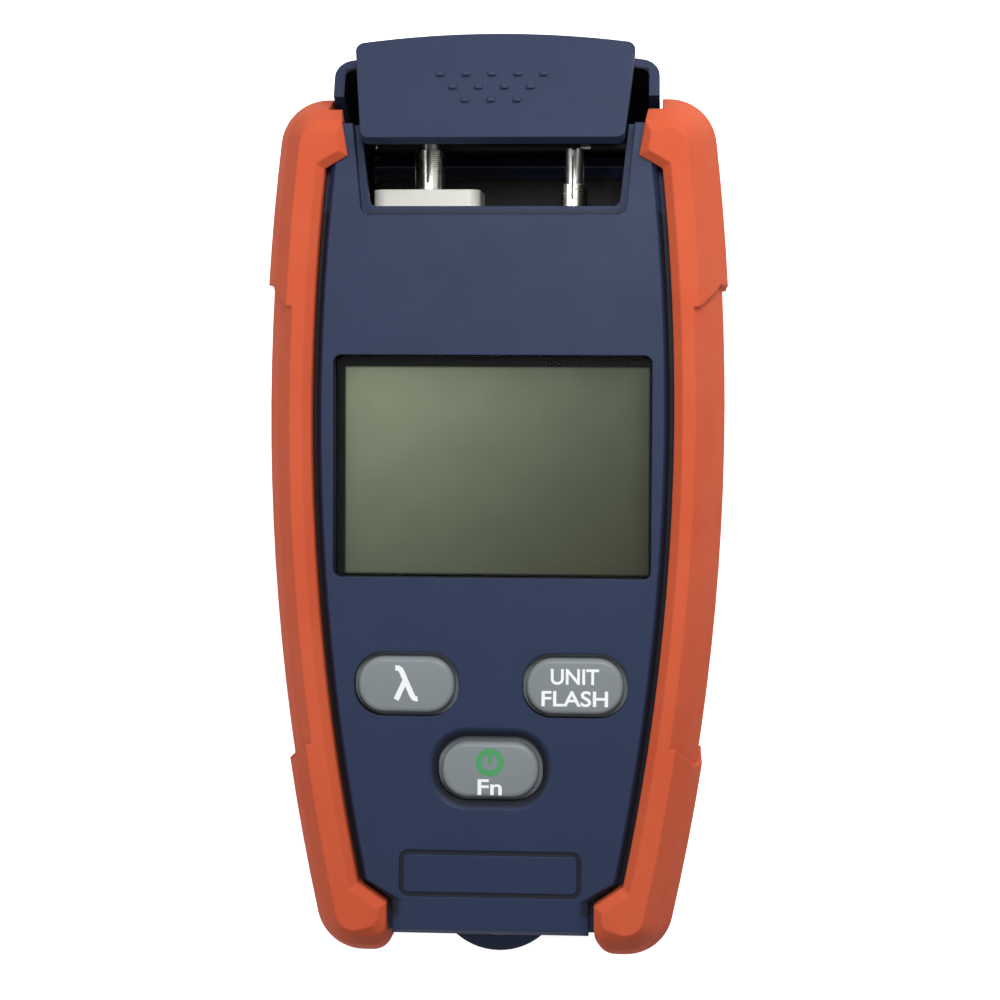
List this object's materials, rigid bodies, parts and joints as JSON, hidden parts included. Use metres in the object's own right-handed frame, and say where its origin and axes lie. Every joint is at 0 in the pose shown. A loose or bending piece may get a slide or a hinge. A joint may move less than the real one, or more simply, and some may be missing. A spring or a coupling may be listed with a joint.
{
  "type": "optical power meter",
  "caption": "Handheld fibre-optic power meter with rubber side grips, a display, soft keys and a flip cap over its two ports; lies on its back with the cap part open.",
  "frame": {"origin": "middle of the outline, on the surface the meter lies on, with the cap part open", "axes": "+X to the right across the face, +Y along the meter towards the ports, +Z out through the face"},
  "size_m": [0.0772, 0.156, 0.0372],
  "materials": {
    "housing_plastic": "fine matt moulding",
    "grip_rubber": "soft matt rubber",
    "flange_plastic": "satin",
    "port_metal": "turned, bright",
    "steel": "bright",
    "window_clear": "clear, polished",
    "display_glass": "grey-green, glossy",
    "light_guide": "white",
    "strip_rubber": "soft",
    "key_plastic": "satin",
    "board": "solder mask",
    "switch_plastic": "matt",
    "cell_sleeve": "plain sleeve"
  },
  "bodies": {
    "housing": {"front_shell": "housing_plastic", "rear_shell": "housing_plastic", "left_grip": "grip_rubber", "right_grip": "grip_rubber", "hinge_pin": "steel", "detector_flange": "flange_plastic", "detector_barrel": "port_metal", "detector_sleeve": "steel", "photodiode": "port_metal", "fault_barrel": "port_metal", "fault_sleeve": "steel", "laser_module": "port_metal", "main_board": "board", "lcd_window": "window_clear", "lcd_panel": "display_glass", "lcd_frame": "switch_plastic", "lcd_backlight": "light_guide", "zebra_strip_upper": "strip_rubber", "zebra_strip_lower": "strip_rubber", "switch_wavelength": "switch_plastic", "switch_unit": "switch_plastic", "switch_power": "switch_plastic", "battery_cell_left": "cell_sleeve", "battery_cell_right": "cell_sleeve", "battery_contact_lower": "steel", "battery_contact_upper": "steel", "housing_screw_1": "steel", "board_screw_1": "steel", "housing_screw_2": "steel", "board_screw_2": "steel", "housing_screw_3": "steel", "board_screw_3": "steel", "housing_screw_4": "steel", "board_screw_4": "steel"},
    "cap": {"dust_cap": "housing_plastic"},
    "key_wavelength_body": {"key_wavelength": "key_plastic"},
    "key_unit_body": {"key_unit": "key_plastic"},
    "key_power_body": {"key_power": "key_plastic"},
    "door": {"battery_door": "housing_plastic"}
  },
  "joints": [
    {"name": "cap_hinge", "type": "hinge", "parent": "housing", "child": "cap", "pos_m": [0, 0.06177, 0.0062], "axis": [-1, 0, 0], "range_deg": [-23, 97]},
    {"name": "wavelength_press", "type": "slide", "parent": "housing", "child": "key_wavelength_body", "axis": [0, 0, -1], "range_m": [0, 0.0008], "stiffness_N_per_m": 900, "springref_m": -0.0006},
    {"name": "unit_press", "type": "slide", "parent": "housing", "child": "key_unit_body", "axis": [0, 0, -1], "range_m": [0, 0.0008], "stiffness_N_per_m": 900, "springref_m": -0.0006},
    {"name": "power_press", "type": "slide", "parent": "housing", "child": "key_power_body", "axis": [0, 0, -1], "range_m": [0, 0.0008], "stiffness_N_per_m": 900, "springref_m": -0.0006},
    {"name": "door_release", "type": "slide", "parent": "housing", "child": "door", "axis": [0, 0, -1], "range_m": [0, 0.012]}
  ]
}
